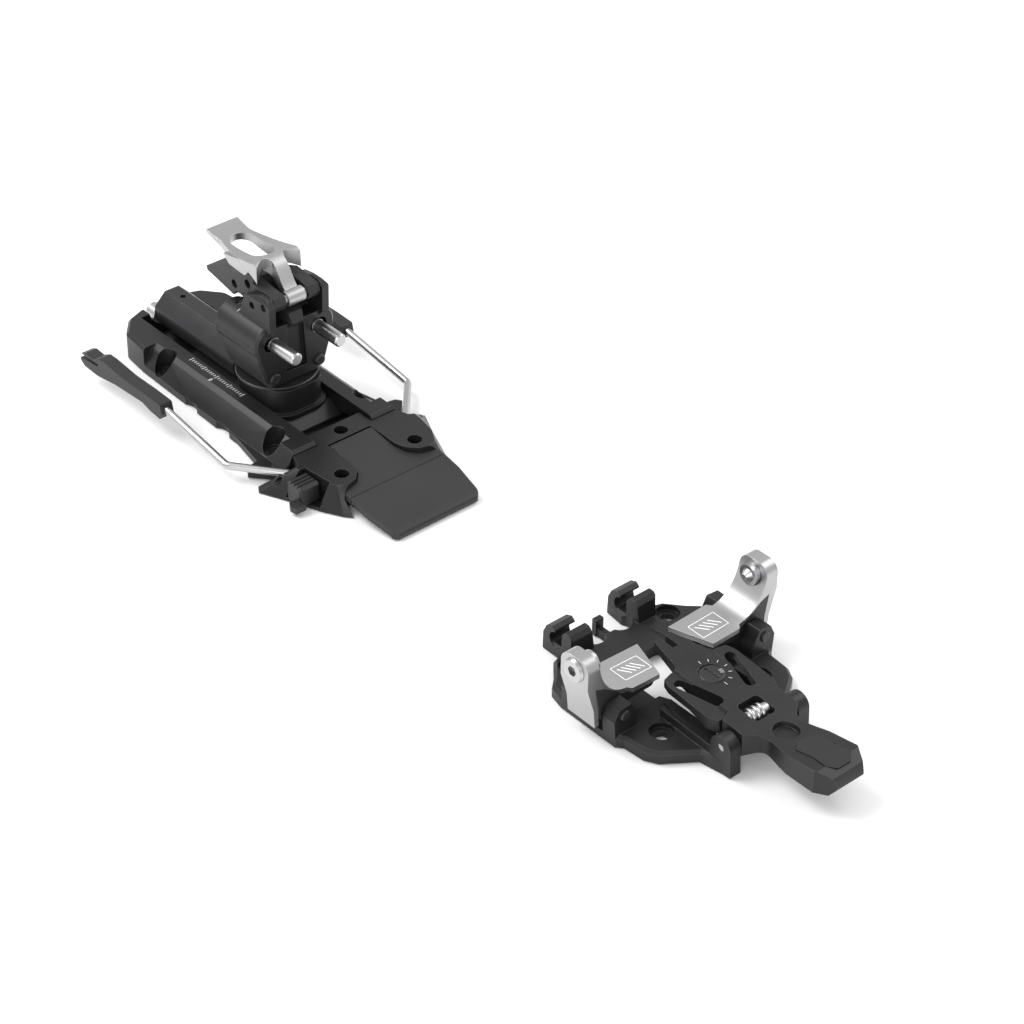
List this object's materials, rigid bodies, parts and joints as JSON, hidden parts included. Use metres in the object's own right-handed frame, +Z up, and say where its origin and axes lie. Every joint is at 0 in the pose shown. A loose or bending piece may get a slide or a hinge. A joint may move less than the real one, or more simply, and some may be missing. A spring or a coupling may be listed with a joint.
{
  "type": "touring binding",
  "caption": "Pin touring binding for a ski: turning heel tower with two risers and a brake, and a toe unit with two pivoting wings and a lever",
  "frame": {"origin": "middle of the toe unit's four screw holes, on the top surface of the ski", "axes": "+X forward to the ski tip, +Y to the left, +Z up"},
  "size_m": [0.4223, 0.1006, 0.0754],
  "materials": {
    "black_anodised": "satin black anodised, broken edges",
    "tube_anodised": "satin dark grey anodised",
    "black_plastic": "fine-grained moulded nylon",
    "silver_aluminium": "machined and bead blasted, clear anodised",
    "steel": "ground steel",
    "lever_rubber": "plain soft rubber"
  },
  "bodies": {
    "base": {"heel_housing": "black_anodised", "brake_base": "black_anodised", "brake_springs": "steel", "pad_pivot_pin": "steel", "toe_base": "black_anodised", "wing_pivots": "tube_anodised", "lever_axle": "steel"},
    "lead_screw": {"lead_screw": "steel"},
    "carriage": {"carriage": "black_anodised", "swivel_ring": "tube_anodised", "release_tube": "tube_anodised", "release_spring": "steel", "release_plunger": "steel"},
    "release_cap": {"release_cap": "tube_anodised"},
    "tower": {"tower": "black_anodised", "tower_post": "steel", "vertical_spring": "steel", "release_wedge": "black_plastic", "heel_pin_pivots": "steel", "face_screws": "tube_anodised", "riser_axle": "steel"},
    "vertical_adjuster": {"vertical_adjuster": "tube_anodised"},
    "heel_pin_left": {"heel_pin_left": "steel"},
    "heel_pin_right": {"heel_pin_right": "steel"},
    "upper_riser": {"upper_riser": "silver_aluminium"},
    "lower_riser": {"lower_riser": "black_plastic", "riser_magnets": "tube_anodised"},
    "brake_left": {"brake_arm_left": "steel", "arm_paddle_left": "black_plastic"},
    "brake_right": {"brake_arm_right": "steel", "arm_paddle_right": "black_plastic"},
    "pad_rear": {"pad_rear": "black_plastic", "pad_crease_pin": "steel"},
    "pad_front": {"pad_front": "black_plastic"},
    "brake_lock": {"brake_lock": "black_plastic"},
    "wing_left": {"wing_arm_left": "silver_aluminium", "wing_core_left": "black_plastic", "toe_pin_left": "steel"},
    "wing_right": {"wing_arm_right": "silver_aluminium", "wing_core_right": "black_plastic", "toe_pin_right": "steel"},
    "lever": {"toe_lever": "black_anodised", "lever_insert": "lever_rubber", "lock_roller": "steel"},
    "dial": {"dial": "tube_anodised"}
  },
  "joints": [
    {"name": "carriage_slide", "type": "slide", "parent": "base", "child": "carriage", "axis": [1, 0, 0], "range_m": [-0.004, 0.012]},
    {"name": "lead_screw_turn", "type": "hinge", "parent": "base", "child": "lead_screw", "pos_m": [-0.3285, 0, 0.0031], "axis": [1, 0, 0], "range_deg": [-1445, 4325]},
    {"name": "release_cap_turn", "type": "hinge", "parent": "carriage", "child": "release_cap", "pos_m": [-0.3165, 0, 0.0147], "axis": [1, 0, 0], "range_deg": [-360, 360]},
    {"name": "vertical_adjuster_turn", "type": "hinge", "parent": "tower", "child": "vertical_adjuster", "pos_m": [-0.2365, 0, 0.0504], "axis": [0, 0, 1], "range_deg": [-360, 360]},
    {"name": "tower_turn", "type": "hinge", "parent": "carriage", "child": "tower", "pos_m": [-0.2365, 0, 0.0214], "axis": [0, 0, 1], "range_deg": [-180, 180]},
    {"name": "heel_pin_left_open", "type": "hinge", "parent": "tower", "child": "heel_pin_left", "pos_m": [-0.2455, 0.0112, 0.0432], "axis": [0, 0, 1], "range_deg": [0, 3]},
    {"name": "heel_pin_right_open", "type": "hinge", "parent": "tower", "child": "heel_pin_right", "pos_m": [-0.2455, -0.0112, 0.0432], "axis": [0, 0, 1], "range_deg": [-3, 0]},
    {"name": "upper_riser_flip", "type": "hinge", "parent": "lower_riser", "child": "upper_riser", "pos_m": [-0.223, 0, 0.0615], "axis": [0, 1, 0], "range_deg": [0, 85]},
    {"name": "lower_riser_flip", "type": "hinge", "parent": "tower", "child": "lower_riser", "pos_m": [-0.223, 0, 0.0615], "axis": [0, 1, 0], "range_deg": [0, 70]},
    {"name": "brake_left_swing", "type": "hinge", "parent": "base", "child": "brake_left", "pos_m": [-0.188, 0.02, 0.0054], "axis": [0, 1, 0], "range_deg": [-45, 0]},
    {"name": "brake_right_swing", "type": "hinge", "parent": "base", "child": "brake_right", "pos_m": [-0.188, -0.02, 0.0054], "axis": [0, 1, 0], "range_deg": [-45, 0]},
    {"name": "pad_rear_lift", "type": "hinge", "parent": "base", "child": "pad_rear", "pos_m": [-0.1869, 0, 0.0095], "axis": [0, 1, 0], "range_deg": [-30, 0]},
    {"name": "pad_front_fold", "type": "hinge", "parent": "pad_rear", "child": "pad_front", "pos_m": [-0.1562, 0, 0.0059], "axis": [0, 1, 0], "range_deg": [0, 12]},
    {"name": "brake_lock_slide", "type": "slide", "parent": "base", "child": "brake_lock", "axis": [1, 0, 0], "range_m": [-0.001, 0.004]},
    {"name": "wing_left_close", "type": "hinge", "parent": "base", "child": "wing_left", "pos_m": [0.002, 0.0352, 0.0127], "axis": [1, 0, 0], "range_deg": [0, 18]},
    {"name": "wing_right_close", "type": "hinge", "parent": "base", "child": "wing_right", "pos_m": [0.002, -0.0352, 0.0127], "axis": [1, 0, 0], "range_deg": [-18, 0]},
    {"name": "lever_lift", "type": "hinge", "parent": "base", "child": "lever", "pos_m": [0.0495, 0, 0.0108], "axis": [0, -1, 0], "range_deg": [0, 15]},
    {"name": "dial_turn", "type": "hinge", "parent": "lever", "child": "dial", "pos_m": [0.024, 0, 0.017], "axis": [0, 0, 1], "range_deg": [-150, 150]}
  ],
  "couplings": [
    {"joint": "lead_screw_turn", "follows": "carriage_slide", "rad_per_m": 6283.2},
    {"joint": "heel_pin_right_open", "follows": "heel_pin_left_open", "ratio": -1},
    {"joint": "brake_left_swing", "follows": "pad_rear_lift", "ratio": 1.5},
    {"joint": "brake_right_swing", "follows": "pad_rear_lift", "ratio": 1.5},
    {"joint": "pad_front_fold", "follows": "pad_rear_lift", "ratio": -0.4},
    {"joint": "wing_left_close", "follows": "lever_lift", "ratio": 1.2},
    {"joint": "wing_right_close", "follows": "lever_lift", "ratio": -1.2}
  ]
}
